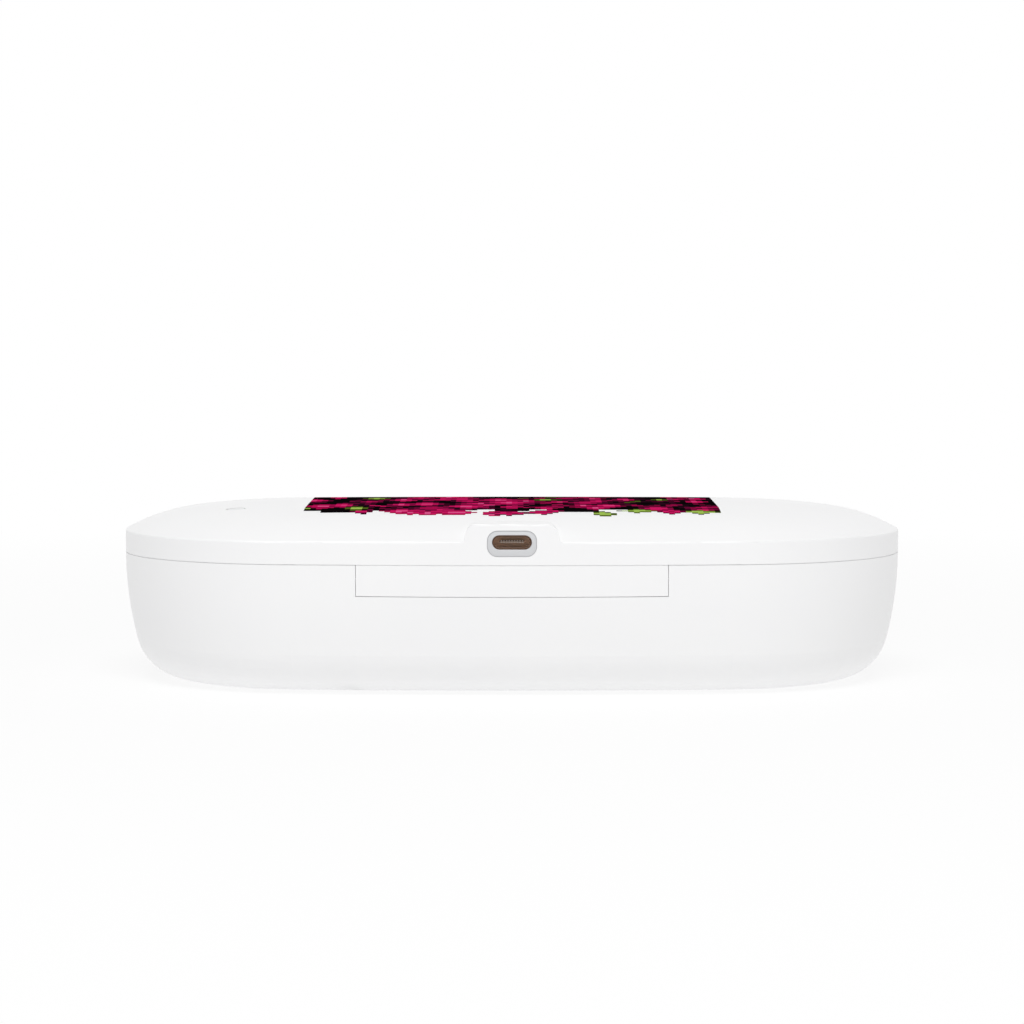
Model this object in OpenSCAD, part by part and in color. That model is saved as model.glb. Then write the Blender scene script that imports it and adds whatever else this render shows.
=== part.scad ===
// Hinged box that cleans a telephone with ultraviolet light and charges one laid on its lid.
// The case stands on z = 0 and is centred on x = y = 0. Its back, with the hinge and the
// charging socket, faces -Y. The lid turns about the hinge pins, and the push button sinks.

/* [Case] */
// Length of the case, left to right
case_length = 219.6; // [219.6:0.2:220]
// Depth of the case, front to back
case_depth = 114; // [113:0.5:115]
// Height of the closed case, feet included
case_height = 49.6; // [49.2:0.1:50]
// Radius of the outline at its two round ends
end_radius = 54.5; // [54:0.1:55]
// Height of the seam between base and lid
seam_height = 36.1; // [35.9:0.1:36.3]
// Width of the seam
seam_gap = 0.2; // [0.2:0.05:0.3]
// Wall of the two outer shells
shell_wall = 2.2; // [2:0.1:2.4]

/* [Base form] */
// Radius of the side wall's long upright curve
wall_arc = 98.9; // [98.9:0.1:99.1]
// Radius of the lower edge
corner_arc = 14.5; // [14:0.1:15]
// How far the rubber feet stand below the base
foot_height = 0.4; // [0.3:0.1:0.6]
// Depth of the finger scoop under the lid's front edge
scoop_depth = 1.3; // [1:0.1:1.5]

/* [Lid form] */
// Radius of the lid's crown
crown_arc = 135; // [130:1:140]
// Distance from the outline to where the lid's top is flat
crown_inset = 35.4; // [35:0.1:36]
// Radius of the shoulder between crown and rim
shoulder_arc = 48.3; // [48:0.1:48.6]
// Distance from the outline to the centre of the shoulder's arc
shoulder_inset = 24.2; // [24:0.1:24.4]
// Rounding of the edge between shoulder and rim
rim_edge = 0.6; // [0.5:0.05:0.8]

/* [Hinge] */
// Height of the hinge panel seen in the back wall
panel_height = 8.2; // [8:0.1:8.4]
// Half length of the hinge block
block_half = 42.1; // [41.5:0.1:42.3]
// Distance of the hinge axis in from the back of the case
axis_inset = 3.2; // [3.1:0.05:3.3]
// Clearance between the hinge barrel and its pocket
hinge_gap = 0.15; // [0.12:0.01:0.2]
// Radius of the hinge pins
pin_r = 0.9; // [0.8:0.05:0.95]
// How far the lid opens, in degrees
lid_travel = 100; // [90:1:105]

/* [Charging socket] */
// Height of the socket's centre
port_height = 42; // [41.8:0.1:42.2]
// Width of the recess round the socket
recess_width = 13.4; // [13:0.1:14]
// Height of that recess
recess_tall = 7.1; // [6.9:0.1:7.3]
// Depth of that recess
recess_depth = 2.6; // [2.4:0.1:2.8]
// How far the socket's mouth sits above the recess's centre
mouth_rise = 0.35; // [0.2:0.05:0.4]
// Width of the socket's metal mouth
mouth_width = 10.6; // [10.2:0.1:10.8]
// Height of that mouth
mouth_tall = 3.8; // [3.6:0.1:4]
// Half width of the raised boss round the recess
boss_half = 12.7; // [12:0.1:13]
// Height of the boss's top
boss_height = 47.35; // [47.2:0.05:47.5]
// Radius of the boss's two upper corners
boss_corner = 3.6; // [3:0.1:4]
// Rounding of the boss's top edge
boss_edge = 0.45; // [0.4:0.05:0.6]

/* [Push button] */
// Diameter of the button
button_d = 4.8; // [4.5:0.1:5]
// Place of the button, left of the middle
button_x = -77; // [-78:0.5:-76]
// Place of the button, behind the middle
button_y = -21.5; // [-22:0.5:-21]
// How far the button sinks
button_travel = 0.4; // [0.3:0.05:0.4]
// Gap round the button
button_gap = 0.3; // [0.2:0.05:0.35]
// How far the button lies below the lid's surface
button_sunk = 0.1; // [0.05:0.05:0.15]

/* [Chamber] */
// Distance from the outline to the chamber's wall
chamber_inset = 13.2; // [13:0.1:13.4]
// Height of the chamber's floor
chamber_floor = 8; // [7.8:0.1:8.4]
// Rounding between the chamber's wall and floor
chamber_edge = 12; // [11:0.5:12]
// Half distance between the two phone rests
rest_spread = 42; // [38:1:46]

/* [Hidden] */
$fn = 64;

white = [0.95, 0.95, 0.955];
steel = [0.72, 0.73, 0.75];
board_green = [0.1, 0.35, 0.2];
black = [0.12, 0.12, 0.13];

// Plan outline: two round ends joined by two long, slightly bowed sides
half_depth = case_depth / 2;
end_cx = case_length / 2 - end_radius;
side_radius = (end_cx * end_cx + half_depth * half_depth - end_radius * end_radius)
              / (2 * (half_depth - end_radius));
side_cy = side_radius - half_depth;
side_angle = asin(end_cx / (side_radius - end_radius));
reach = half_depth + 4;
skin = 0.01;

// Heights at the seam. Behind a shallow groove the base's wall steps up to just under the lid.
base_top = seam_height - seam_gap / 2;
lid_bottom = seam_height + seam_gap / 2;
step_top = lid_bottom - 0.04;
groove_depth = 0.25;
step_width = 1.5;
edge_break = 0.06;

// Base wall section: a long arc from the seam down, then the lower edge's arc
corner_turn = asin((seam_height - foot_height - corner_arc) / (wall_arc - corner_arc));
corner_x = -wall_arc + (wall_arc - corner_arc) * cos(corner_turn);
corner_z = foot_height + corner_arc;

// Lid section: flat top, crown arc, shoulder arc, upright rim
crown_cx = -crown_inset;
crown_cz = case_height - crown_arc;
shoulder_cx = -shoulder_inset;
shoulder_cz = crown_cz
              + sqrt(pow(crown_arc - shoulder_arc, 2) - pow(crown_inset - shoulder_inset, 2));
crown_turn = asin((crown_inset - shoulder_inset) / (crown_arc - shoulder_arc));
rim_top = shoulder_z(0);

// Fits between the shells and what closes them
shell_fit = 0.2;
liner_inset = shell_wall + shell_fit;

// Hinge
axis_y = -half_depth + axis_inset;
axis_z = seam_height - panel_height / 2;
pocket_half = block_half + 0.12;
pocket_front = axis_y + barrel_r(0) + hinge_gap;
housing_r = 6.8;
cheek = 4.5;
pin_length = 14;
pin_outer_x = pocket_half + cheek - 0.5;
pin_inner_x = pin_outer_x - pin_length;
pin_clearance = 0.05;
stem_front = 1.8;
flange_top = lid_bottom + 2.25;
flange_front = -48;
flange_notch = [10, -52.1];
stop_x = 27;
stop_width = 4;
stop_angle = 10;
stop_half_angle = 6;
stop_r = 4.1;
relief_x = 62;

// Lid inner cover
cover_top = lid_bottom + 3.2;
cover_plate = 1.6;
cover_ring_inset = 11;
window_r = 4;
window_seat_r = 5.1;
led_x = [-66, -22, 22, 66];
led_row_y = 14;
led_board_z = 40.9;
led_board_size = [146, 10, 1];
led_stake_x = [-44, 0, 44];

// Control board
board_z = 40.3;
board_t = 1.2;
board_box = [[-40, -47.8], [40, -22]];
board_stakes = [[-36.5, -25.5], [36.5, -25.5], [-36.5, -44], [36.5, -44]];
// corner and size of each square part on the control board
chips = [
  [[-16, -36], [7, 7, 0.9]], [[6, -35], [5, 4, 1]], [[17, -38], [7, 7, 2]],
  [[-27, -34], [4, 5, 1]], [[-6, -30], [2, 1.2, 0.8]], [[-2, -30], [2, 1.2, 0.8]],
  [[2, -30], [2, 1.2, 0.8]]
];
switch_board_z = 40.6;
switch_board_box = [[-95, -28], [-73.5, -14]];
switch_stakes = [[-92, -25.5], [-76, -26.7]];

// Screws
screw_r = 1;
screw_head_r = 1.75;
screw_head_h = 1.1;
screw_inset = 6.2;
end_screw_angle = 28;
side_screw_x = 44;
hinge_screw_x = [-36, -18, 18, 36];
hinge_screw_y = -50.1;
hinge_screw_length = 4.6;
cover_screw_length = 4.8;
bracket_screw_length = 3;
tray_screw_length = 4;
tray_screw_at = [[-68, -26], [68, -26], [-68, 26], [68, 26]];

// Feet and the screw wells over them
foot_r = 6;
foot_recess = 0.9;
well_top = 2.9;
pillar_top = 5;

// Coil stack under the middle of the lid
coil_top = case_height - shell_wall - 0.2;
coil_t = 1.2;
ferrite_t = 1.2;
bracket_t = 1.2;
ferrite_z = coil_top - coil_t - ferrite_t;
bracket_z = ferrite_z - bracket_t;
bracket_screw_at = [[-30, -24], [30, -24], [-30, 24], [30, 24]];

// Tray
tray_wall = 1.6;
flange_z = base_top - 0.2;
lip_top = flange_z + 1.05;
magnet_r = 3;
magnet_h = 2.5;
magnet_inset = 7;
magnet_x = 22;
interlock_angle = 200;
bumper_r = 2.5;
bumper_sunk = 0.8;
bumper_at = [for (a = [-40, 40, 140, 220]) end_point(a, 6.8)];

// Phone rests
rest_size = [5, 60];
rest_top = chamber_floor + 4.6;
rest_dip = 1.2;
rest_dip_r = 150;

// Charging socket
recess_size = [recess_width, recess_tall];
recess_corner = 2.8;
recess_floor = -half_depth + recess_depth;
port_block = 19.2;
mouth_size = [mouth_width, mouth_tall];
mouth_height = port_height + mouth_rise;
socket_fit = [0.1, 0.1];
sleeve_size = mouth_size - [0.7, 0.7];
sleeve_front = -half_depth + 0.9;
bezel_front = -half_depth + 0.8;
bezel_edge = -half_depth + 1.7;
bezel_size = mouth_size + [0.5, 0.5];
sleeve_back = -46.4;
tongue_size = [6.7, 0.25];
tongue_tip = sleeve_back - 7.4;
contact_count = 9;
contact_pitch = 0.72;
contact_size = [0.36, 4.3, 0.15];

// Push button
button_at = [button_x, button_y];
plunger_z = 43.9;
plunger_r = 1.7;
collar_z = 45.5;
collar_r = 3.6;
collar_h = 0.9;

// Height of the lid's outer face over its shoulder, a distance in from the outline
function shoulder_z(inset) =
  shoulder_cz + sqrt(shoulder_arc * shoulder_arc - pow(shoulder_inset - inset, 2));

// Distance in y from the middle of the case to the outline at x
function outline_y(x) = sqrt(side_radius * side_radius - x * x) - side_cy;

// Radius of the hinge barrel at x, which keeps the panel's lower edge straight in the bowed wall
function barrel_r(x) = norm([outline_y(x) + axis_y, panel_height / 2]);

// How far from the hinge axis the top of the base's back wall reaches at x
function back_edge_r(x) = max(
  norm([outline_y(x) + axis_y, base_top - axis_z]),
  norm([outline_y(x) + axis_y - groove_depth, step_top - axis_z])
);

// A point on the round end nearest to direction a, a distance in from the outline
function end_point(a, inset) =
  [(cos(a) > 0 ? end_cx : -end_cx) + (end_radius - inset) * cos(a), (end_radius - inset) * sin(a)];

// A point on the long side at x, a distance in from the outline; side is 1 in front, -1 behind
function side_point(x, inset, side) =
  [x, side * (sqrt((side_radius - inset) * (side_radius - inset) - x * x) - side_cy)];

// The places of the six screws that hold the inner cover
cover_screw_at = concat(
  [for (a = [-end_screw_angle, end_screw_angle, 180 - end_screw_angle, 180 + end_screw_angle])
    end_point(a, screw_inset)],
  [for (x = [-side_screw_x, side_screw_x]) side_point(x, screw_inset, 1)]
);
magnet_at = [for (x = [-magnet_x, magnet_x]) side_point(x, magnet_inset, 1)];
interlock_at = end_point(interlock_angle, magnet_inset);

// ---- Forms -------------------------------------------------------------------------------

// Sweeps a section round the whole outline. In the section, x = 0 lies on the outline and
// x < 0 further in, and y is the height. The outline's arcs meet on the lines from each
// side's centre through the centres of the round ends.
module around() {
  far = 2 * case_height;
  for (side = [0, 1]) {
    mirror([side, 0, 0]) intersection() {
      translate([end_cx, 0, 0]) rotate_extrude($fn = 180) intersection() {
        translate([end_radius, 0]) children();
        square([end_radius + 1, far]);
      }
      linear_extrude(far)
        polygon([[end_cx, 0], [2 * end_cx, side_cy], [side_cy, side_cy],
                 [side_cy, -side_cy], [2 * end_cx, -side_cy]]);
    }
    mirror([0, side, 0]) intersection() {
      translate([0, -side_cy, 0])
        rotate_extrude(angle = 2 * side_angle + 4, start = 88 - side_angle, $fn = 1440)
          translate([side_radius, 0]) children();
      linear_extrude(far)
        polygon([[-end_cx, 0], [end_cx, 0], [2 * end_cx, side_cy], [-2 * end_cx, side_cy]]);
    }
  }
}

// Sweeps a section along the back only
module along_back() {
  translate([0, side_cy, 0])
    rotate_extrude(angle = 2 * side_angle, start = 270 - side_angle, $fn = 1440)
      translate([side_radius, 0]) children();
}

// Everything inside the base's outer face, less an inset, up to a height
module base_section(inset, top) {
  joint_z = seam_height - (wall_arc - inset) * sin(corner_turn);
  floor_z = foot_height + inset;
  intersection() {
    translate([-wall_arc, seam_height]) circle(r = wall_arc - inset, $fn = 360);
    translate([-reach, joint_z]) square([reach, top - joint_z]);
  }
  intersection() {
    union() {
      translate([corner_x, corner_z]) circle(r = corner_arc - inset, $fn = 120);
      translate([-reach, floor_z]) square([reach + corner_x, corner_z]);
    }
    translate([-reach, floor_z]) square([reach, joint_z - floor_z]);
  }
}

// Everything inside the lid's outer face, less an inset, down to a height
module lid_section(inset, bottom) {
  joint_x = crown_cx + (crown_arc - inset) * sin(crown_turn);
  translate([-reach, bottom]) square([reach + crown_cx, case_height - inset - bottom]);
  intersection() {
    translate([crown_cx, crown_cz]) circle(r = crown_arc - inset, $fn = 720);
    translate([crown_cx, bottom]) square([joint_x - crown_cx, case_height]);
  }
  intersection() {
    translate([shoulder_cx, shoulder_cz]) circle(r = shoulder_arc - inset, $fn = 240);
    translate([joint_x, bottom]) square([-inset - joint_x, case_height]);
  }
}

// What rounding takes off the edge between the lid's shoulder and rim
module rim_edge_cut() {
  edge_z = shoulder_cz
           + sqrt(pow(shoulder_arc - rim_edge, 2) - pow(shoulder_cx + rim_edge, 2));
  edge = [-rim_edge, edge_z];
  out = (edge - [shoulder_cx, shoulder_cz]) / (shoulder_arc - rim_edge);
  difference() {
    polygon([edge, [rim_edge, edge_z], [rim_edge, rim_top + rim_edge], edge + out * 2 * rim_edge]);
    translate(edge) circle(r = rim_edge, $fn = 48);
  }
}

// The bevel that breaks an edge at the outline; up is 1 where the piece lies above the edge
module edge_bevel(z, up) {
  polygon([[-edge_break, z - up * skin], [skin, z - up * skin], [skin, z + up * edge_break]]);
}

// Everything inside a cup's face: upright wall, rounded lower edge, flat floor
module cup_section(inset, floor_z, edge, top) {
  translate([-reach, floor_z]) square([reach - inset - edge, top - floor_z]);
  translate([-inset - edge - skin, floor_z + edge]) square([edge + skin, top - floor_z - edge]);
  translate([-inset - edge, floor_z + edge]) intersection() {
    circle(r = edge, $fn = 96);
    translate([-skin, -edge]) square([edge + skin, edge + skin]);
  }
}

// A bar of a given section in x and z, from y_back to y_front
module bar_along_y(y_back, y_front) {
  translate([0, y_front, 0]) rotate([90, 0, 0]) linear_extrude(y_front - y_back) children();
}

// A rectangle with round corners, centred
module rounded_rect(size, r) {
  square([size[0] - 2 * r, size[1]], center = true);
  square([size[0], size[1] - 2 * r], center = true);
  for (x = [-1, 1], y = [-1, 1])
    translate([x * (size[0] / 2 - r), y * (size[1] / 2 - r)]) circle(r = r, $fn = 48);
}

// A flat board between two corners
module board(corners, z, t) {
  translate([corners[0][0], corners[0][1], z])
    cube([corners[1][0] - corners[0][0], corners[1][1] - corners[0][1], t]);
}

// A round bar along X on the hinge axis
module on_axis(x, length, r) {
  translate([x, axis_y, axis_z]) rotate([0, 90, 0]) cylinder(r = r, h = length);
}

// The hinge barrel, or with a clearance added, the pocket that it turns in
module barrel(half, clearance) {
  steps = 6;
  translate([0, axis_y, axis_z]) rotate([0, 90, 0]) rotate_extrude()
    polygon(concat([[0, -half]],
                   [for (i = [-steps : steps]) [barrel_r(half * i / steps) + clearance,
                                                half * i / steps]],
                   [[0, half]]));
}

// What the lid's underside must lose beside the block to swing past the back wall's top edge
module swing_relief() {
  steps = 6;
  spare = 0.08;
  inner = block_half - 1;
  width = relief_x - inner;
  for (side = [0, 1]) mirror([side, 0, 0])
    translate([0, axis_y, axis_z]) rotate([0, 90, 0]) rotate_extrude()
      polygon(concat([[0, inner]],
                     [for (i = [0 : steps]) [back_edge_r(inner + width * i / steps) + spare,
                                             inner + width * i / steps]],
                     [[0, relief_x]]));
}

// A sector of a ring on the hinge axis; angles are counted from +Y towards +Z
module axis_sector(x, width, r_in, r_out, from, to) {
  translate([x, axis_y, axis_z]) rotate([90, 0, 90])
    rotate_extrude(angle = to - from, start = from)
      translate([r_in, 0]) square([r_out - r_in, width]);
}

// A pan-head screw standing on its head at z, pointing up
module screw_up(z, length) {
  translate([0, 0, z]) cylinder(r = screw_head_r, h = screw_head_h, $fn = 32);
  translate([0, 0, z + screw_head_h - skin]) cylinder(r = screw_r, h = length + skin, $fn = 32);
}

// ---- Base --------------------------------------------------------------------------------

// Outer shell of the base with the hinge housing, the screw wells and the finger scoop
module base_shell() color(white) {
  difference() {
    union() {
      around() {
        difference() {
          base_section(0, base_top);
          base_section(shell_wall, base_top + 1);
          edge_bevel(base_top, -1);
        }
        translate([-groove_depth - step_width, base_top - skin])
          square([step_width, step_top - base_top + skin]);
      }
      hinge_housing();
      front_pad();
      for (p = tray_screw_at) translate([p[0], p[1], foot_height + 1])
        cylinder(r = 4.5, h = pillar_top - foot_height - 1);
    }
    hinge_pocket();
    for (p = tray_screw_at) translate([p[0], p[1], 0]) {
      cylinder(r = foot_r + 0.2, h = foot_height + foot_recess);
      cylinder(r = 2.2, h = well_top);
      cylinder(r = screw_r + 0.15, h = pillar_top + 1);
    }
    finger_scoop();
  }
  stop_ribs();
}

// Solid behind the back wall that holds the hinge pins
module hinge_housing() {
  intersection() {
    union() {
      on_axis(-pocket_half - cheek, 2 * (pocket_half + cheek), housing_r);
      translate([-pocket_half - cheek, -half_depth, axis_z])
        cube([2 * (pocket_half + cheek), half_depth + axis_y + housing_r, base_top - axis_z]);
    }
    along_back() base_section(0, base_top);
  }
}

// Room for the hinge block to turn in, open to the back and the top
module hinge_pocket() {
  barrel(pocket_half, hinge_gap);
  translate([-pocket_half, -half_depth - 1, axis_z])
    cube([2 * pocket_half, half_depth + 1 + pocket_front, lid_bottom - axis_z]);
  on_axis(-pin_outer_x - pin_clearance, 2 * (pin_outer_x + pin_clearance), pin_r);
}

// Two ribs in the pocket that the barrel's grooves stop on when the lid is open
module stop_ribs() {
  for (x = [-stop_x - stop_width, stop_x])
    axis_sector(x, stop_width, stop_r + hinge_gap, housing_r - 0.7,
                stop_angle - stop_half_angle, stop_angle + stop_half_angle);
}

// Thicker wall behind the finger scoop
module front_pad() {
  intersection() {
    translate([-12, half_depth - shell_wall - 1.4, base_top - 12]) cube([24, 3, 10]);
    translate([0, half_depth - shell_wall, base_top - 2]) rotate([90, 0, 0])
      cylinder(r = 10, h = 6, center = true);
  }
}

// A shallow round scoop that lets a finger under the lid
module finger_scoop() {
  scoop_r = 28;
  translate([0, half_depth + scoop_r - scoop_depth, base_top]) sphere(r = scoop_r, $fn = 180);
}

// Inner tray: the chamber's floor and wall, its flange, and the lip that keeps the light in
module base_tray() color([0.88, 0.89, 0.9]) difference() {
  union() {
    around() {
      difference() {
        cup_section(chamber_inset - tray_wall, chamber_floor - tray_wall,
                    chamber_edge + tray_wall, flange_z);
        cup_section(chamber_inset, chamber_floor, chamber_edge, flange_z + 1);
      }
      translate([-chamber_inset, flange_z - 1.8])
        square([chamber_inset - liner_inset, 1.8]);
      translate([-chamber_inset, flange_z - skin])
        square([tray_wall - 0.2, lip_top - flange_z + skin]);
    }
    for (p = concat(magnet_at, [interlock_at])) translate([p[0], p[1], flange_z - 4.2])
      cylinder(r = magnet_r + 1.2, h = 4);
    for (p = tray_screw_at) translate([p[0], p[1], pillar_top])
      cylinder(r = 3.5, h = chamber_floor - pillar_top - 0.4);
  }
  translate([-pocket_half - cheek - 0.4, -half_depth, flange_z - 3])
    cube([2 * (pocket_half + cheek + 0.4), axis_inset + housing_r + 0.3, 6]);
  for (p = concat(magnet_at, [interlock_at])) translate([p[0], p[1], flange_z - 5])
    cylinder(r = magnet_r, h = 4);
  for (p = bumper_at) translate([p[0], p[1], flange_z - bumper_sunk])
    cylinder(r = bumper_r, h = 2);
  for (p = tray_screw_at) translate([p[0], p[1], pillar_top - 1])
    cylinder(r = screw_r, h = 3.2);
  rest_slots(chamber_floor - 0.6, 0);
}

// The slots that hold the phone rests, as wide as the rests and a clearance more
module rest_slots(z, clearance) {
  for (x = [-rest_spread, rest_spread]) translate([x, 0, z])
    linear_extrude(6) rounded_rect([rest_size[0] + 2 * clearance, rest_size[1] + 2 * clearance],
                                   rest_size[0] / 2 + clearance - skin);
}

// Bright metal sheet on the chamber's floor
module reflector_plate() color([0.8, 0.81, 0.83]) difference() {
  around() translate([-reach, chamber_floor])
    square([reach - chamber_inset - chamber_edge, 0.5]);
  rest_slots(chamber_floor - 1, 0.3);
}

// Two clear rests that hold the phone up, so that light gets under it
module phone_rests() color([0.85, 0.9, 0.95]) {
  for (x = [-rest_spread, rest_spread]) translate([x, 0, 0]) difference() {
    translate([0, 0, chamber_floor - 0.6]) linear_extrude(rest_top - chamber_floor + 0.6)
      rounded_rect(rest_size, rest_size[0] / 2 - skin);
    // a shallow dip along the top that steadies a phone's edges
    translate([0, 0, rest_top + rest_dip_r - rest_dip]) rotate([0, 90, 0])
      cylinder(r = rest_dip_r, h = rest_size[0] + 1, center = true, $fn = 720);
  }
}

// Soft pads that the lid comes down on
module tray_bumpers() color([0.75, 0.76, 0.78]) {
  for (p = bumper_at) translate([p[0], p[1], flange_z - bumper_sunk])
    cylinder(r = bumper_r, h = lid_bottom - 0.05 - flange_z + bumper_sunk);
}

// Two magnets that hold the lid shut, and one that tells the lid's sensor that it is shut
module base_magnets() color(steel) {
  for (p = concat(magnet_at, [interlock_at])) translate([p[0], p[1], flange_z - 3.5])
    cylinder(r = magnet_r, h = magnet_h);
}

// Steel pins pressed into the base's cheeks
module hinge_pins() color(steel) {
  on_axis(pin_inner_x, pin_length, pin_r);
  on_axis(-pin_outer_x, pin_length, pin_r);
}

// Four rubber feet over the screw wells
module rubber_feet() color(black) {
  for (p = tray_screw_at) translate([p[0], p[1], 0])
    cylinder(r = foot_r, h = foot_height + foot_recess);
}

// Screws from below that hold the tray in the base
module tray_screws() color(steel) {
  for (p = tray_screw_at) translate([p[0], p[1], 0])
    screw_up(well_top - screw_head_h, tray_screw_length);
}

// ---- Lid ---------------------------------------------------------------------------------

// Domed outer shell of the lid with the socket's boss, the button's hole and the screw bosses
module lid_shell() color(white) difference() {
  union() {
    difference() {
      around() difference() {
        lid_section(0, lid_bottom);
        lid_section(shell_wall, lid_bottom - 1);
        rim_edge_cut();
        edge_bevel(lid_bottom, 1);
      }
      port_opening();
    }
    difference() {
      port_boss();
      along_back() lid_section(shell_wall / 2, 0);
      port_opening();
    }
    difference() {
      intersection() {
        port_boss();
        translate([-port_block / 2, -half_depth - 1, lid_bottom])
          cube([port_block, recess_depth + 3, case_height]);
      }
      port_opening();
    }
    lid_bosses();
  }
  swing_relief();
  translate([button_at[0], button_at[1], 40]) cylinder(r = button_d / 2 + button_gap, h = 12);
  for (p = cover_screw_at) translate([p[0], p[1], cover_top - 1])
    cylinder(r = screw_r, h = 4.2, $fn = 32);
  for (x = hinge_screw_x) translate([x, hinge_screw_y, flange_top - 1])
    cylinder(r = screw_r, h = 4.6, $fn = 32);
  for (p = bracket_screw_at) translate([p[0], p[1], bracket_z])
    cylinder(r = screw_r, h = 3.2, $fn = 32);
}

// The recess that a plug enters, and the hole for the socket's sleeve at its bottom
module port_opening() {
  bar_along_y(-half_depth - 1, recess_floor) translate([0, port_height])
    rounded_rect(recess_size, recess_corner);
  bar_along_y(-half_depth, sleeve_back + 0.9) translate([0, mouth_height])
    rounded_rect(mouth_size + socket_fit, mouth_size[1] / 2);
}

// The raised block in the rim that the charging socket looks out of
module port_boss() {
  foot = 1.2;
  intersection() {
    bar_along_y(-half_depth - 1, -half_depth + 16) {
      difference() {
        translate([-boss_half, lid_bottom]) square([2 * boss_half, boss_height - lid_bottom]);
        for (s = [-1, 1]) difference() {
          translate([s * boss_half, boss_height]) square(2 * boss_corner, center = true);
          translate([s * (boss_half - boss_corner), boss_height - boss_corner])
            circle(r = boss_corner);
        }
      }
      for (s = [-1, 1]) difference() {
        translate([s * (boss_half + foot / 2 - skin / 2), rim_top + foot / 2 - 0.25])
          square([foot + skin, foot + 0.5], center = true);
        translate([s * (boss_half + foot), rim_top + foot]) circle(r = foot);
      }
    }
    along_back() difference() {
      translate([-17, lid_bottom]) square([17, boss_height - lid_bottom]);
      difference() {
        translate([-boss_edge, boss_height - boss_edge]) square(2 * boss_edge);
        translate([-boss_edge, boss_height - boss_edge]) circle(r = boss_edge, $fn = 48);
      }
      edge_bevel(lid_bottom, 1);
    }
  }
}

// Posts inside the dome that take the screws, each ending within the shell's wall
module lid_bosses() {
  within = 0.15;
  for (p = cover_screw_at) translate([p[0], p[1], cover_top])
    cylinder(r = 2.5, h = shoulder_z(screw_inset - 2.5) - within - cover_top);
  for (x = hinge_screw_x) translate([x, hinge_screw_y, flange_top])
    cylinder(r = 1.9, h = shoulder_z(outline_y(x) + hinge_screw_y - 1.9) - within - flange_top);
  for (p = bracket_screw_at) translate([p[0], p[1], bracket_z + bracket_t])
    cylinder(r = 2.6, h = case_height - shell_wall / 2 - bracket_z - bracket_t);
}

// Cover that closes the lid from below, with the lamp windows
module lid_inner_cover() color([0.9, 0.91, 0.92]) difference() {
  union() {
    around() difference() {
      translate([-reach, lid_bottom]) square([reach - liner_inset, cover_top - lid_bottom]);
      translate([-reach, lid_bottom - 1])
        square([reach - cover_ring_inset, cover_top - cover_plate - lid_bottom + 1]);
    }
    for (x = led_stake_x, y = [-led_row_y, led_row_y]) stake([x, y], led_board_z, led_board_size[2]);
    for (p = board_stakes) stake(p, board_z, board_t);
    for (p = switch_stakes) stake(p, switch_board_z, board_t);
  }
  for (x = led_x, y = [-led_row_y, led_row_y]) translate([x, y, 0]) {
    cylinder(r = window_r, h = case_height);
    translate([0, 0, cover_top - 1]) cylinder(r = window_seat_r, h = 3);
  }
  translate([-block_half - 0.35, -half_depth, lid_bottom - 1])
    cube([2 * (block_half + 0.35), half_depth + flange_front + 0.2, 6]);
  for (p = cover_screw_at) translate([p[0], p[1], lid_bottom - 1]) {
    cylinder(r = screw_head_r + 0.35, h = 1 + screw_head_h + 0.3);
    cylinder(r = screw_r + 0.15, h = 8, $fn = 32);
  }
  for (p = magnet_at) translate([p[0], p[1], lid_bottom + 0.6]) cylinder(r = magnet_r, h = 5);
  swing_relief();
}

// A post with a thin tip that a board is pushed onto
module stake(p, z, t) {
  translate([p[0], p[1], cover_top - skin]) cylinder(r = 2, h = z - cover_top + skin, $fn = 32);
  translate([p[0], p[1], z - skin]) cylinder(r = 0.8, h = t + 0.5, $fn = 32);
}

// Screws that hold the inner cover
module cover_screws() color(steel) {
  for (p = cover_screw_at) translate([p[0], p[1], 0])
    screw_up(lid_bottom + 0.3, cover_screw_length);
}

// Block that joins the lid to the pins: barrel, panel flush with the back wall, and flange
module hinge_block() color(white) difference() {
  intersection() {
    union() {
      barrel(block_half, 0);
      translate([-block_half, -half_depth - 1, axis_z])
        cube([2 * block_half, half_depth + 1 + axis_y + stem_front, base_top - axis_z]);
      translate([-block_half, -half_depth, axis_z])
        cube([2 * block_half, half_depth + axis_y + stem_front, lid_bottom - axis_z + 1]);
      translate([-block_half, -half_depth, lid_bottom])
        cube([2 * block_half, half_depth + flange_front, flange_top - lid_bottom]);
    }
    along_back() {
      difference() {
        base_section(0, base_top);
        edge_bevel(base_top, -1);
      }
      translate([-reach, base_top - skin])
        square([reach - groove_depth, lid_bottom - base_top + skin]);
      translate([-reach, lid_bottom - skin])
        square([reach - liner_inset - 0.1, flange_top - lid_bottom + skin]);
    }
  }
  translate([-flange_notch[0], -half_depth, lid_bottom])
    cube([2 * flange_notch[0], half_depth + flange_notch[1], 4]);
  for (s = [-1, 1]) on_axis(s > 0 ? pin_inner_x - 1 : -block_half - 1,
                            block_half - pin_inner_x + 2, pin_r + pin_clearance);
  for (x = [-stop_x - stop_width, stop_x])
    axis_sector(x - 0.3, stop_width + 0.6, stop_r, housing_r,
                stop_angle - stop_half_angle - lid_travel - 1, stop_angle + stop_half_angle + 3);
  for (x = hinge_screw_x) translate([x, hinge_screw_y, lid_bottom - 1]) {
    cylinder(r = screw_head_r + 0.1, h = 1 + screw_head_h);
    cylinder(r = screw_r + 0.1, h = 5, $fn = 32);
  }
}

// Screws that hold the hinge block to the lid
module hinge_screws() color(steel) {
  for (x = hinge_screw_x) translate([x, hinge_screw_y, 0]) screw_up(lid_bottom, hinge_screw_length);
}

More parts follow.
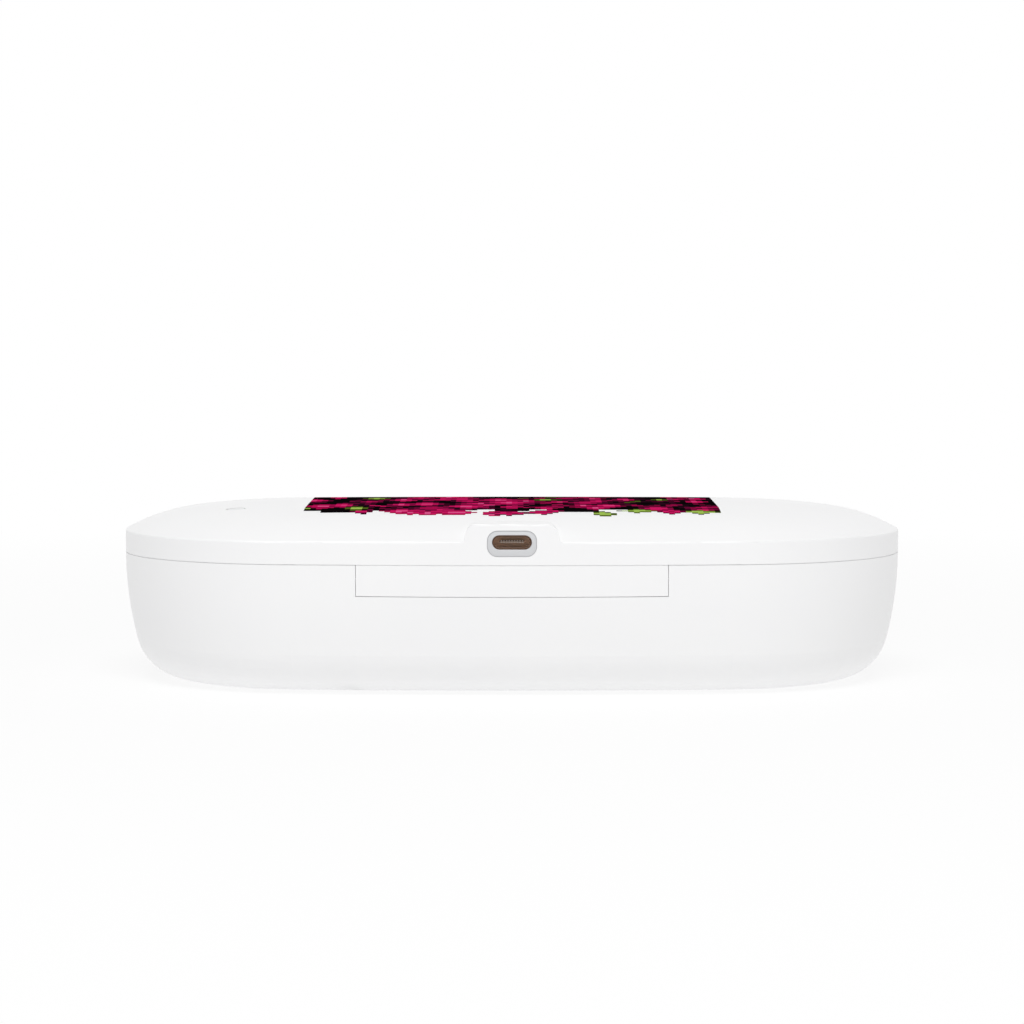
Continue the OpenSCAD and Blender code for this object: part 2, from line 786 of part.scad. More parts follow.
// Magnets in the lid's front edge
module lid_magnets() color(steel) {
  for (p = magnet_at) translate([p[0], p[1], lid_bottom + 0.6]) cylinder(r = magnet_r, h = magnet_h);
}

// Plate that carries the charging coil under the lid's top
module coil_bracket() color(black) difference() {
  translate([0, 0, bracket_z]) linear_extrude(bracket_t) rounded_rect([68, 56], 4);
  for (p = bracket_screw_at) translate([p[0], p[1], 40]) cylinder(r = screw_r + 0.15, h = 9);
  translate([0, 0, 40]) cylinder(r = 7, h = 9);
}

// Screws that hold the coil's plate
module bracket_screws() color(steel) {
  for (p = bracket_screw_at) translate([p[0], p[1], 0])
    screw_up(bracket_z - screw_head_h, bracket_screw_length);
}

// Square of ferrite behind the coil
module coil_ferrite() color([0.2, 0.2, 0.21])
  translate([0, 0, ferrite_z]) linear_extrude(ferrite_t) rounded_rect([50, 50], 2);

// Flat winding of the charging coil
module charging_coil() color([0.72, 0.4, 0.22]) difference() {
  translate([0, 0, coil_top - coil_t]) cylinder(r = 22, h = coil_t);
  cylinder(r = 10, h = case_height);
}

// Board with the electronics and the charging socket
module control_board() color(board_green) difference() {
  board(board_box, board_z, board_t);
  translate([-mouth_size[0] / 2 - 0.1, -50, board_z - 1])
    cube([mouth_size[0] + 0.2, 3.7, board_t + 2]);
  for (p = board_stakes) translate([p[0], p[1], board_z - 1])
    cylinder(r = 0.9, h = board_t + 2, $fn = 32);
}

// Parts soldered onto the control board
module board_parts() color(black) translate([0, 0, board_z + board_t]) {
  for (chip = chips) translate([chip[0][0], chip[0][1], 0]) cube(chip[1]);
  translate([30, -33, 0]) cylinder(r = 2, h = 2);
}

// Pale collar that fills the recess round the socket's mouth, highest at the mouth
module port_bezel() color([0.85, 0.86, 0.87]) difference() {
  hull() {
    bar_along_y(bezel_edge, recess_floor) translate([0, port_height])
      rounded_rect(recess_size - socket_fit, recess_corner - socket_fit[0] / 2);
    bar_along_y(bezel_front, recess_floor) translate([0, mouth_height])
      rounded_rect(bezel_size, bezel_size[1] / 2 - skin);
  }
  bar_along_y(-half_depth, recess_floor + 1) translate([0, mouth_height])
    rounded_rect(mouth_size + socket_fit, mouth_size[1] / 2);
}

// Metal sleeve of the charging socket
module port_shell() color([0.42, 0.32, 0.26]) difference() {
  bar_along_y(sleeve_front, sleeve_back) translate([0, mouth_height])
    rounded_rect(mouth_size, mouth_size[1] / 2 - skin);
  bar_along_y(-half_depth, sleeve_back - 0.5) translate([0, mouth_height])
    rounded_rect(sleeve_size, sleeve_size[1] / 2 - skin);
}

// Insulator at the back of the socket, with the tongue
module port_core() color([0.3, 0.22, 0.18]) {
  bar_along_y(sleeve_back - 3, sleeve_back - 0.5) translate([0, mouth_height])
    rounded_rect(sleeve_size, sleeve_size[1] / 2 - skin);
  bar_along_y(tongue_tip, sleeve_back - 2.9) translate([0, mouth_height])
    square(tongue_size, center = true);
}

// A row of contacts on each face of the tongue
module port_contacts() color([0.8, 0.75, 0.6]) {
  for (i = [0 : contact_count - 1], s = [-1, 1])
    translate([(i - (contact_count - 1) / 2) * contact_pitch, tongue_tip + contact_size[1] / 2,
               mouth_height + s * (tongue_size[1] + contact_size[2]) / 2])
      cube(contact_size, center = true);
}

// Two long boards with the lamps
module led_boards() color([0.85, 0.86, 0.87]) {
  for (y = [-led_row_y, led_row_y]) difference() {
    translate([-led_board_size[0] / 2, y - led_board_size[1] / 2, led_board_z])
      cube(led_board_size);
    for (x = led_stake_x) translate([x, y, led_board_z - 1]) cylinder(r = 0.9, h = 4, $fn = 32);
  }
}

// Ultraviolet lamps facing down
module uv_leds() color([0.95, 0.9, 0.6]) {
  for (x = led_x, y = [-led_row_y, led_row_y])
    translate([x - 1.75, y - 1.75, led_board_z - 1.1]) cube([3.5, 3.5, 1.1]);
}

// Clear windows under the lamps
module led_windows() color([0.8, 0.88, 0.95]) {
  for (x = led_x, y = [-led_row_y, led_row_y]) translate([x, y, cover_top - 1])
    cylinder(r = window_seat_r, h = 1);
}

// Small board under the push button
module switch_board() color(board_green) difference() {
  board(switch_board_box, switch_board_z, board_t);
  for (p = switch_stakes) translate([p[0], p[1], switch_board_z - 1])
    cylinder(r = 0.9, h = board_t + 2, $fn = 32);
}

// Body of the switch under the push button
module power_switch() color(black) difference() {
  translate([button_at[0] - 3, button_at[1] - 3, switch_board_z + board_t]) cube([6, 6, 3.2]);
  translate([button_at[0], button_at[1], plunger_z - button_travel - 0.2])
    cylinder(r = plunger_r + 0.1, h = 5);
}

// Sensor that feels the base's third magnet when the lid is shut
module lid_sensor() color(black)
  translate([-94.5, -18.5, switch_board_z + board_t]) cube([4, 3, 1.4]);

// ---- Button ------------------------------------------------------------------------------

// Button cap, flush with the dome, with the collar that keeps it in
module power_button() color(white) translate([button_at[0], button_at[1], 0]) {
  intersection() {
    translate([0, 0, collar_z + collar_h / 2]) cylinder(r = button_d / 2, h = 5);
    translate([-button_at[0], -button_at[1], 0]) around() lid_section(button_sunk, 44);
  }
  translate([0, 0, collar_z]) cylinder(r = collar_r, h = collar_h);
}

// Plunger between the button and the switch
module switch_plunger() color([0.5, 0.3, 0.2])
  translate([button_at[0], button_at[1], plunger_z]) cylinder(r = plunger_r, h = collar_z - plunger_z);

base_shell();
base_tray();
reflector_plate();
phone_rests();
tray_bumpers();
base_magnets();
hinge_pins();
rubber_feet();
tray_screws();
lid_shell();
lid_inner_cover();
cover_screws();
hinge_block();
hinge_screws();
lid_magnets();
coil_bracket();
bracket_screws();
coil_ferrite();
charging_coil();
control_board();
board_parts();
port_bezel();
port_shell();
port_core();
port_contacts();
led_boards();
uv_leds();
led_windows();
switch_board();
power_switch();
lid_sensor();
power_button();
switch_plunger();
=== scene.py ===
# %% [markdown]
# # A hinged box that cleans a telephone with ultraviolet light
#
# The box is a white oval case a little longer than a hand. Its lid carries the lamps, a charging
# coil, a push button and a socket at the back. The construction comes from a fixed frame of exact
# solids: this script never moves one. It gives each solid the finish of its real material, adds
# the small pieces that the solids leave plain, such as the ink on the lid and the crosses in the
# screws, and sets up the camera, the floor and the light.
#
# First the frame is loaded. Everything after this is in metres, in the frame's own axes: X along
# the case, Y from the hinge towards the front edge, Z up, and the case stands on Z = 0.

# %% Load the frame
import math
import random

import bmesh
import bpy
from mathutils import Matrix, Vector
from mathutils.bvhtree import BVHTree


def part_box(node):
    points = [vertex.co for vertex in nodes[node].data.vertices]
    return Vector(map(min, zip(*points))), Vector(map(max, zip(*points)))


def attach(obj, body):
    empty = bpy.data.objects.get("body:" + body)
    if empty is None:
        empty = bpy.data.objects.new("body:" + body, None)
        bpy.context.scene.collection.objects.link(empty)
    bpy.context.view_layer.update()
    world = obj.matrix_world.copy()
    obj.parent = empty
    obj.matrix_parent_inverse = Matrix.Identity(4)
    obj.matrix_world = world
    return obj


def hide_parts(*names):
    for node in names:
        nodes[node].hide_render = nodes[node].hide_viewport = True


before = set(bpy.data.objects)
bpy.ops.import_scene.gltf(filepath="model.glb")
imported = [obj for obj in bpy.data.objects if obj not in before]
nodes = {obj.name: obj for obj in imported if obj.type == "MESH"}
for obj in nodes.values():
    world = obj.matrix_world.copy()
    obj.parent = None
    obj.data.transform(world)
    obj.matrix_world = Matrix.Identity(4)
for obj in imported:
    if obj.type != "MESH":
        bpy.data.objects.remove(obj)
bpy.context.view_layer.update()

bpy.context.scene.view_settings.view_transform = "Standard"
MM = 0.001

# %% [markdown]
# ## The camera
#
# The photograph looks straight at the back of the case, from about a metre away and a little
# above. The distance is worked out from how the seam, the rim and the ground line bend: for a case
# of this depth, one distance fits them best. The lens then follows from the size in the picture.
# It is a long one that looks down by less than four degrees, so the verticals stay nearly upright.

# %% Camera
CAMERA_PLACE = (0, -0.98054, 0.11169)
LOOKS_DOWN = 3.785
FOCAL_LENGTH = 121.15

camera_data = bpy.data.cameras.new("camera")
camera_data.sensor_width = 36
camera_data.lens = FOCAL_LENGTH
camera = bpy.data.objects.new("camera", camera_data)
bpy.context.collection.objects.link(camera)
camera.location = CAMERA_PLACE
camera.rotation_euler = (math.radians(90 - LOOKS_DOWN), 0, 0)
bpy.context.scene.camera = camera
print("camera", round(camera.location.length, 3), "m from the middle of the foot of the case")

# %% [markdown]
# ## Two helpers for materials
#
# Paint makers and web pages give colours as sRGB hex values. Blender's shaders add up light, so
# they want linear values, and one function turns the first into the second. Another adds a shader
# node with its settings and links in one line, which keeps each recipe short enough to read.

# %% Colour and node helpers
def colour(hex_value):
    """sRGB hex to the linear colour that a shader reads."""
    channels = [int(hex_value[i:i + 2], 16) / 255 for i in (1, 3, 5)]
    linear = [c / 12.92 if c <= 0.04045 else ((c + 0.055) / 1.055) ** 2.4 for c in channels]
    return (*linear, 1)


def add_node(tree, kind, settings=None, links=None):
    """A node of a kind, with properties or unlinked sockets set and others linked."""
    node = tree.nodes.new(kind)
    for name, value in (settings or {}).items():
        if isinstance(name, str) and hasattr(node, name):
            setattr(node, name, value)
        else:
            node.inputs[name].default_value = value
    for name, source in (links or {}).items():
        tree.links.new(source, node.inputs[name])
    return node


def start_material(name):
    """An empty material with its output, and the place in metres that patterns read."""
    material = bpy.data.materials.new(name)
    material.use_nodes = True
    tree = material.node_tree
    tree.nodes.clear()
    place = add_node(tree, "ShaderNodeTexCoord").outputs["Object"]
    return material, tree, place


def finish_material(material, shader):
    """Joins the shader to the material's output."""
    add_node(material.node_tree, "ShaderNodeOutputMaterial",
             links={"Surface": shader.outputs[0]})
    print("material:", material.name)
    return material


def repeats(millimetres):
    """The scale at which a noise or cell texture shows spots of this size."""
    return 1000 / millimetres


# %% [markdown]
# ## The case: moulded ABS
#
# The shells are ABS plastic, pressed into a finely stoned steel mould. That gives a satin gloss:
# light spreads a little, and there are no sharp mirror images. Up close the plastic is never even.
# Its white drifts by a fraction of a shade over a few centimetres, where the melt flowed, and the
# gloss has a fine grain from the mould. Both are noise textures that read the place in metres, so
# that they have a real size: 35 mm for the drift, and 0.6 mm for the grain, which is coarser than
# the real one so that it shows at all.

# %% Case plastic
def case_abs():
    """White ABS with a drift in its tone and a fine grain in its gloss."""
    material, tree, place = start_material("moulded ABS, satin white")
    drift = add_node(tree, "ShaderNodeTexNoise",
                     {"Scale": repeats(35), "Detail": 2.0}, {"Vector": place})
    white = add_node(tree, "ShaderNodeMix", {"data_type": "RGBA"}, {"Factor": drift.outputs["Fac"]})
    white.inputs["A"].default_value = colour("#F3F3F4")
    white.inputs["B"].default_value = colour("#F6F6F6")
    grain = add_node(tree, "ShaderNodeTexNoise",
                     {"Scale": repeats(0.6), "Detail": 3.0}, {"Vector": place})
    gloss = add_node(tree, "ShaderNodeMapRange", {"To Min": 0.33, "To Max": 0.41},
                     {"Value": grain.outputs["Fac"]})
    bump = add_node(tree, "ShaderNodeBump", {"Strength": 0.03, "Distance": 0.02 * MM},
                    {"Height": grain.outputs["Fac"]})
    shader = add_node(tree, "ShaderNodeBsdfPrincipled", {"IOR": 1.53},
                      {"Base Color": white.outputs["Result"], "Roughness": gloss.outputs["Result"],
                       "Normal": bump.outputs["Normal"]})
    return finish_material(material, shader)


# %% [markdown]
# ## The inside: ABS with a spark-eroded face
#
# The tray and the lid's inner cover come from moulds whose steel was roughened by sparks. The
# surface scatters light, so the parts look matt and a touch greyer than the case. Cells of about
# 0.5 mm stand for the tiny craters.

# %% Liner plastic
def liner_abs():
    """Matt ABS with small craters."""
    material, tree, place = start_material("moulded ABS, spark-eroded matt")
    craters = add_node(tree, "ShaderNodeTexVoronoi", {"Scale": repeats(0.5)}, {"Vector": place})
    drift = add_node(tree, "ShaderNodeTexNoise",
                     {"Scale": repeats(25), "Detail": 2.0}, {"Vector": place})
    white = add_node(tree, "ShaderNodeMix", {"data_type": "RGBA"}, {"Factor": drift.outputs["Fac"]})
    white.inputs["A"].default_value = colour("#E6E7E9")
    white.inputs["B"].default_value = colour("#EBECED")
    gloss = add_node(tree, "ShaderNodeMapRange", {"To Min": 0.52, "To Max": 0.66},
                     {"Value": craters.outputs["Distance"]})
    bump = add_node(tree, "ShaderNodeBump", {"Strength": 0.12, "Distance": 0.05 * MM},
                    {"Height": craters.outputs["Distance"]})
    shader = add_node(tree, "ShaderNodeBsdfPrincipled", {"IOR": 1.53},
                      {"Base Color": white.outputs["Result"], "Roughness": gloss.outputs["Result"],
                       "Normal": bump.outputs["Normal"]})
    return finish_material(material, shader)


# %% [markdown]
# ## Metals
#
# The reflector is rolled aluminium, the screws are zinc-plated, the hinge pins are ground steel,
# the magnets are nickel-plated, the coil is copper, and the contacts and the lamps' floors are
# gold-plated. Each is a metallic shader whose roughness carries the trace of how it was made.
# Rolling leaves fine lines along the sheet, and the rod for the pins was drawn before it was
# ground, so for both the noise is stretched along X. Plating leaves small grains.

# %% Metals
def metal(name, low, high, rough, grain_mm, stretch=(1, 1, 1)):
    """A metal with two tones, a range of roughness, and a grain of a size, stretched or not."""
    material, tree, place = start_material(name)
    scaled = add_node(tree, "ShaderNodeMapping", {"Scale": stretch}, {"Vector": place})
    grain = add_node(tree, "ShaderNodeTexNoise", {"Scale": repeats(grain_mm), "Detail": 3.0},
                     {"Vector": scaled.outputs["Vector"]})
    tone = add_node(tree, "ShaderNodeMix", {"data_type": "RGBA"}, {"Factor": grain.outputs["Fac"]})
    tone.inputs["A"].default_value = colour(low)
    tone.inputs["B"].default_value = colour(high)
    gloss = add_node(tree, "ShaderNodeMapRange", {"To Min": rough[0], "To Max": rough[1]},
                     {"Value": grain.outputs["Fac"]})
    bump = add_node(tree, "ShaderNodeBump", {"Strength": 0.1, "Distance": 0.01 * MM},
                    {"Height": grain.outputs["Fac"]})
    shader = add_node(tree, "ShaderNodeBsdfPrincipled", {"Metallic": 1.0},
                      {"Base Color": tone.outputs["Result"], "Roughness": gloss.outputs["Result"],
                       "Normal": bump.outputs["Normal"]})
    return finish_material(material, shader)


# %% [markdown]
# The socket has two materials of its own. Its sleeve is brass sheet, stamped and rolled to an oval
# tube, then plated bronze. Its cut edge that faces out is painted dark, as painted shade, and its
# inside is painted bright, as painted light. Its core is moulded polymer, painted pale inside as
# painted light, with the tongue moulded over it in a dark one. In both, the place along Y tells the
# two tones apart, so one material serves the whole solid. The painted bright inside matters: light
# that gets in bounces from wall to wall and fills the socket with brown.

# %% Socket materials
def socket_material(name, outer, inner, change_at, settings, rough, grain_mm):
    """One tone in front of a place along Y and another behind it, under a fine grain."""
    material, tree, place = start_material(name)
    grain = add_node(tree, "ShaderNodeTexNoise", {"Scale": repeats(grain_mm), "Detail": 3.0},
                     {"Vector": place})
    along = add_node(tree, "ShaderNodeSeparateXYZ", links={"Vector": place}).outputs["Y"]
    behind = add_node(tree, "ShaderNodeMapRange",
                      {"From Min": change_at - 0.05 * MM, "From Max": change_at + 0.05 * MM},
                      {"Value": along})
    tone = add_node(tree, "ShaderNodeMix", {"data_type": "RGBA"},
                    {"Factor": behind.outputs["Result"]})
    # For the sleeve the tone in front is painted shade, and for both solids the tone behind is
    # painted light, paler than the real part.
    tone.inputs["A"].default_value = colour(outer)
    tone.inputs["B"].default_value = colour(inner)
    gloss = add_node(tree, "ShaderNodeMapRange", {"To Min": rough[0], "To Max": rough[1]},
                     {"Value": grain.outputs["Fac"]})
    bump = add_node(tree, "ShaderNodeBump", {"Strength": 0.1, "Distance": 0.01 * MM},
                    {"Height": grain.outputs["Fac"]})
    shader = add_node(tree, "ShaderNodeBsdfPrincipled", settings,
                      {"Base Color": tone.outputs["Result"], "Roughness": gloss.outputs["Result"],
                       "Normal": bump.outputs["Normal"]})
    return finish_material(material, shader)


# %% [markdown]
# ## Rubber, nylon, ceramic and board
#
# These don't conduct, so they share a recipe too: a drift of colour at one size and a grain that
# moves the roughness and the surface at another. What differs is where the numbers come from:
# rubber is dull and nearly black, glass-filled nylon shows pale specks, silicone is soft and grey,
# a board's lacquer is glossy over its fine weave, and glaze makes a ceramic smooth.

# %% Dull materials
def dull(name, low, high, rough, drift_mm, grain_mm, relief, ior=1.5):
    """A non-metal with a drift between two tones and a grain in its roughness and relief."""
    material, tree, place = start_material(name)
    drift = add_node(tree, "ShaderNodeTexNoise",
                     {"Scale": repeats(drift_mm), "Detail": 2.0}, {"Vector": place})
    tone = add_node(tree, "ShaderNodeMix", {"data_type": "RGBA"}, {"Factor": drift.outputs["Fac"]})
    tone.inputs["A"].default_value = colour(low)
    tone.inputs["B"].default_value = colour(high)
    grain = add_node(tree, "ShaderNodeTexNoise",
                     {"Scale": repeats(grain_mm), "Detail": 3.0}, {"Vector": place})
    gloss = add_node(tree, "ShaderNodeMapRange", {"To Min": rough[0], "To Max": rough[1]},
                     {"Value": grain.outputs["Fac"]})
    bump = add_node(tree, "ShaderNodeBump", {"Strength": relief, "Distance": 0.05 * MM},
                    {"Height": grain.outputs["Fac"]})
    shader = add_node(tree, "ShaderNodeBsdfPrincipled", {"IOR": ior},
                      {"Base Color": tone.outputs["Result"], "Roughness": gloss.outputs["Result"],
                       "Normal": bump.outputs["Normal"]})
    return finish_material(material, shader)


# %% [markdown]
# ## Clear parts
#
# The phone rests are sawn from clear acrylic and the lamp windows ground from quartz glass. Both
# let light through; acrylic has an index of 1.49 and quartz 1.46. The windows are polished, so
# they pass all of it. The rests' sawn faces are frosted and hold about half of the light back as a
# milky glow. A faint noise in the roughness stands for the saw or the polish, because a perfectly
# even clear part looks like a hole.

# %% Clear materials
def clear(name, tint, ior, passes, rough):
    """A clear material with a tint, an index, the share of light it passes, and its roughness."""
    material, tree, place = start_material(name)
    polish = add_node(tree, "ShaderNodeTexNoise", {"Scale": repeats(3), "Detail": 2.0},
                      {"Vector": place})
    gloss = add_node(tree, "ShaderNodeMapRange", {"To Min": rough[0], "To Max": rough[1]},
                     {"Value": polish.outputs["Fac"]})
    shader = add_node(tree, "ShaderNodeBsdfPrincipled",
                      {"IOR": ior, "Transmission Weight": passes, "Base Color": colour(tint)},
                      {"Roughness": gloss.outputs["Result"]})
    return finish_material(material, shader)


# %% [markdown]
# ## Which node gets which finish
#
# One table names the finish of every solid, so that nothing is left plain. The solids keep their
# exact meshes here; only their material slots change.

# %% Dress the solids
case = case_abs()
liner = liner_abs()
zinc = metal("zinc-plated steel", "#AEB2B8", "#C9CCD1", (0.25, 0.42), 0.4)
nickel = metal("nickel-plated neodymium", "#BDB9B0", "#CFCBC3", (0.18, 0.3), 0.5)
ground = metal("ground stainless steel", "#B4B5B6", "#CACACB", (0.18, 0.3), 0.3, (0.1, 1, 1))
rolled = metal("bright rolled aluminium", "#D9DBDE", "#E8E9EB", (0.16, 0.26), 0.7, (0.03, 1, 1))
copper = metal("enamelled copper wire", "#A8582E", "#C8764A", (0.25, 0.4), 0.5)
sleeve_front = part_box("port_shell")[0][1]
tongue_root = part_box("port_core")[1][1] - 2.6 * MM
# The sleeve's dark front edge is painted shade and its pale inside painted light; the core's pale
# inside is painted light, while its dark front is the tongue's own colour.
sleeve = socket_material("stamped brass, bronze plated, painted shade and light", "#654D40", "#E2CCBB",
                         sleeve_front + 0.2 * MM, {"Metallic": 1.0}, (0.5, 0.65), 0.3)
core = socket_material("moulded liquid-crystal polymer, painted light inside", "#634E42", "#D6BCA8",
                       tongue_root, {"IOR": 1.5}, (0.5, 0.65), 0.3)
contact = metal("nickel-gold plated contact", "#B9B0A6", "#D2CAC0", (0.3, 0.4), 0.2)
acetal = dull("moulded acetal", "#5A4A40", "#665448", (0.45, 0.6), 1.5, 0.15, 0.1)
collar = dull("moulded ABS, pale grey", "#CECFD1", "#D5D6D8", (0.4, 0.5), 12, 0.4, 0.08, 1.53)
cap = dull("moulded ABS, satin button cap", "#E9EAEB", "#EEEEEF", (0.38, 0.48), 4, 0.4, 0.08, 1.53)
rubber = dull("moulded natural rubber", "#1B1B1D", "#262628", (0.65, 0.85), 4, 0.3, 0.3)
silicone = dull("cast silicone rubber", "#B4B5B8", "#C0C1C4", (0.5, 0.65), 3, 0.3, 0.15, 1.41)
nylon = dull("glass-filled nylon", "#171719", "#29292B", (0.45, 0.6), 0.6, 0.25, 0.2)
green_board = dull("solder-masked laminate, green", "#14502F", "#1C6A3E", (0.2, 0.35), 1.5, 0.4,
                   0.1)
white_board = dull("solder-masked laminate, white", "#DADCDD", "#E6E7E7", (0.2, 0.35), 2, 0.4,
                   0.1)
ferrite = dull("sintered ferrite", "#1C1C1E", "#2C2C2F", (0.3, 0.5), 3, 0.3, 0.15, 2.2)
ceramic = dull("glazed ceramic", "#E4DCB8", "#EFE9CF", (0.25, 0.4), 1, 0.2, 0.1)
acrylic = clear("sawn acrylic, clear", "#E9F1F5", 1.49, 0.5, (0.2, 0.3))
quartz = clear("polished quartz glass", "#F4F8FC", 1.46, 1.0, (0.02, 0.1))

finishes = {
    case: ["base_shell", "lid_shell", "hinge_block"],
    cap: ["power_button"],
    collar: ["port_bezel"],
    liner: ["base_tray", "lid_inner_cover"],
    rolled: ["reflector_plate"],
    acrylic: ["phone_rests"],
    quartz: ["led_windows"],
    silicone: ["tray_bumpers"],
    rubber: ["rubber_feet"],
    nickel: ["base_magnets", "lid_magnets"],
    ground: ["hinge_pins"],
    zinc: ["tray_screws", "cover_screws", "hinge_screws", "bracket_screws"],
    nylon: ["coil_bracket", "board_parts", "power_switch", "lid_sensor"],
    ferrite: ["coil_ferrite"],
    copper: ["charging_coil"],
    green_board: ["control_board", "switch_board"],
    white_board: ["led_boards"],
    ceramic: ["uv_leds"],
    sleeve: ["port_shell"],
    core: ["port_core"],
    acetal: ["switch_plunger"],
    contact: ["port_contacts"],
}
dressed = set()
for finish, names in finishes.items():
    for name in names:
        nodes[name].data.materials.clear()
        nodes[name].data.materials.append(finish)
        dressed.add(name)
print("dressed", len(dressed), "of", len(nodes), "nodes; left:", sorted(set(nodes) - dressed))

# %% [markdown]
# ## Even shading on the base
#
# The base's mesh has a few triangles that are thinner than a hair. A corner's shading direction is
# a mean over the triangles that meet there, weighted by their angles, and a sliver with a wide
# angle can tip it: then a bright fleck shows on a plain wall. This modifier weighs by area instead,
# so that slivers don't count. It changes the shading only; no point of the mesh moves.

# %% Weigh the base's shading by area
even_shading = nodes["base_shell"].modifiers.new("shading by area", "WEIGHTED_NORMAL")
even_shading.mode = "FACE_AREA"
even_shading.keep_sharp = True
print("shading by area on", len(nodes["base_shell"].data.polygons), "faces")

# %% [markdown]
# ## The ink on the lid
#
# A phone lies on the lid's flat top to charge, and the top is printed. On such cases flatbed
# inkjet heads lay ink straight on the plastic, a few hundredths of a millimetre thick. It could be
# a pattern in the shell's own material, but ink is a layer of its own with its own edge, so it is
# a thin sheet here, built cell by cell. Each cell of 1.6 mm is a square of one ink. Cells without
# ink are left out, which gives the stepped edge and lets the white case show through.
#
# The design is a plain geometric one: a dark ground strewn with stepped diamonds of crimson, pink
# and lime. Diamonds drawn later lie over earlier ones, and along the edge nearest to the hinge the
# ground ends in steps, so that some diamonds hang over the white.

# %% Ink design
CELL = 1.6 * MM
HALF_COLUMNS = 36
HALF_ROWS = 25
INKS = ["#0B0709", "#2A0A1B", "#6A0C36", "#A50F4A", "#CE1A60", "#D9588E", "#4E5E1C", "#9DBE55"]
BLACK, PLUM, WINE, CRIMSON, MAGENTA, PINK, OLIVE, LIME = range(len(INKS))
DIAMOND_INKS = [
    (PINK, MAGENTA, MAGENTA, CRIMSON, WINE), (MAGENTA, CRIMSON, CRIMSON, WINE, PLUM),
    (PINK, MAGENTA, CRIMSON, CRIMSON, BLACK), (CRIMSON, CRIMSON, WINE, PLUM),
    (PINK, MAGENTA, CRIMSON, MAGENTA), (BLACK, BLACK, PLUM), (BLACK, WINE, BLACK),
    (LIME, OLIVE, BLACK)]
DIAMONDS = 170
DIAMOND_HALF_WIDTH = (2, 5.5)
DIAMOND_HALF_DEPTH = (3, 8)
CLEAR_ROWS = 9
NEAR_STEPS = (4, 7)
NEAR_STEP_COLUMNS = 3
NEAR_DIAMONDS = 18
NEAR_HALF_WIDTH = (2, 4)
NEAR_HALF_DEPTH = (1.5, 3.5)
NEAR_ROWS = (2, 6)
NEAR_MARGIN = 2
NEAR_INKS = [(PINK, MAGENTA, CRIMSON), (CRIMSON, MAGENTA, WINE), (LIME, LIME, OLIVE)]
draw = random.Random(23)


def lay_diamond(cells, middle, half, inks):
    """Lays one stepped diamond over the cells, its inks from the middle out."""
    columns = range(-HALF_COLUMNS, HALF_COLUMNS)
    rows = range(-HALF_ROWS, HALF_ROWS)
    for column in columns:
        for row in rows:
            ring = (abs(column + 0.5 - middle[0]) / half[0] + abs(row + 0.5 - middle[1]) / half[1])
            if ring < 1:
                cells[column, row] = inks[int(ring * len(inks))]


def ink_design():
    """The ink of each cell by column and row from the lid's middle; the rest stays white."""
    cells = {}
    near = -HALF_ROWS + NEAR_STEPS[0]
    for column in range(-HALF_COLUMNS, HALF_COLUMNS):
        if column % NEAR_STEP_COLUMNS == 0:
            near = -HALF_ROWS + draw.randint(*NEAR_STEPS)
        for row in range(near, HALF_ROWS):
            cells[column, row] = BLACK
    for _ in range(DIAMONDS):
        middle = (draw.uniform(-HALF_COLUMNS, HALF_COLUMNS),
                  draw.uniform(-HALF_ROWS + CLEAR_ROWS, HALF_ROWS))
        half = (draw.uniform(*DIAMOND_HALF_WIDTH), draw.uniform(*DIAMOND_HALF_DEPTH))
        lay_diamond(cells, middle, half, draw.choice(DIAMOND_INKS))
    for _ in range(NEAR_DIAMONDS):
        middle = (draw.uniform(-HALF_COLUMNS + NEAR_MARGIN, HALF_COLUMNS - NEAR_MARGIN),
                  -HALF_ROWS + draw.uniform(*NEAR_ROWS))
        half = (draw.uniform(*NEAR_HALF_WIDTH), draw.uniform(*NEAR_HALF_DEPTH))
        lay_diamond(cells, middle, half, draw.choice(NEAR_INKS))
    return cells


# %% [markdown]
# The sheet has to follow the dome, whose surface the frame already holds. A ray straight down at
# each corner of each cell finds the shell, and the corner is put just above it. The ink's number
# is kept on each face as an attribute, which the material reads.

# %% Ink sheet
INK_RISE = 0.02 * MM
RAY_START = 1
DOWN = Vector((0, 0, -1))


def surface_finder(node_name):
    """A function that gives the height of a node's outer face over a place in plan."""
    mesh = nodes[node_name].data
    tree = BVHTree.FromPolygons([v.co for v in mesh.vertices], [p.vertices for p in mesh.polygons])
    return lambda x, y: tree.ray_cast(Vector((x, y, RAY_START)), DOWN)[0].z


def ink_sheet():
    """The printed cells as one sheet on the lid's dome, each face with its ink's number."""
    height = surface_finder("lid_shell")
    mesh = bmesh.new()
    ink_layer = mesh.faces.layers.float.new("ink")
    corners = {}

    def corner(i, j):
        if (i, j) not in corners:
            x, y = i * CELL, j * CELL
            corners[i, j] = mesh.verts.new((x, y, height(x, y) + INK_RISE))
        return corners[i, j]

    for (i, j), ink in sorted(ink_design().items()):
        face = mesh.faces.new([corner(i, j), corner(i + 1, j),
                               corner(i + 1, j + 1), corner(i, j + 1)])
        face[ink_layer] = (ink + 0.5) / len(INKS)
        face.smooth = True
    data = bpy.data.meshes.new("lid_print")
    mesh.to_mesh(data)
    mesh.free()
    piece = bpy.data.objects.new("lid_print", data)
    bpy.context.collection.objects.link(piece)
    return piece


